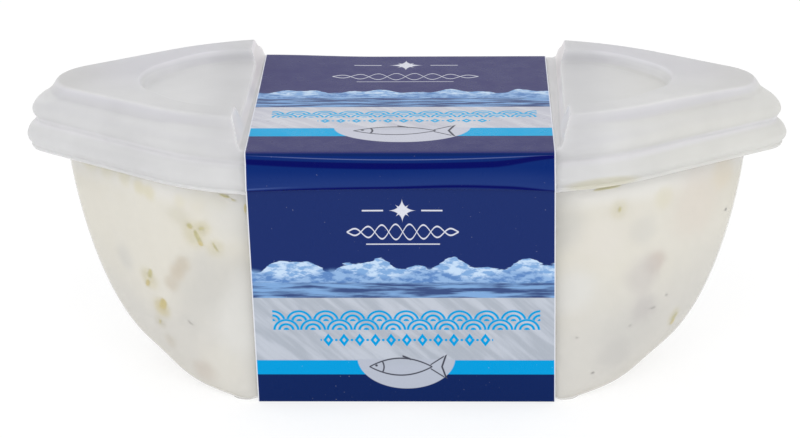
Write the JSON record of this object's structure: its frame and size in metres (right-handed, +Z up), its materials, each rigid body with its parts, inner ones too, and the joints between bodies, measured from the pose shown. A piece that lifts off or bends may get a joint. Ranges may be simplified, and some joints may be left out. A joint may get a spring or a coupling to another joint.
{
  "type": "tub of herring fillet in yogurt sauce",
  "caption": "Boat-shaped translucent plastic tub of herring fillet in yogurt sauce, shut with a beaded press-on lid and wrapped across the middle by a printed card sleeve.",
  "frame": {"origin": "middle of the surface that the pack stands on, under the sleeve", "axes": "+X along the tub, +Y to its back, +Z up through the lid; the side with the shown print looks along -Y"},
  "size_m": [0.1504, 0.0686, 0.0598],
  "materials": {
    "tub": "thin milky polypropylene, smooth outside",
    "filling": "cream yogurt sauce with herring pieces, onion, gherkin and herbs in it",
    "lid": "thin milky polypropylene, satin",
    "sleeve": "thin white card, printed dark blue with pale and cyan bands, lightly varnished"
  },
  "bodies": {
    "root": {"tub": "tub", "filling": "filling", "lid": "lid", "sleeve": "sleeve"}
  },
  "joints": []
}
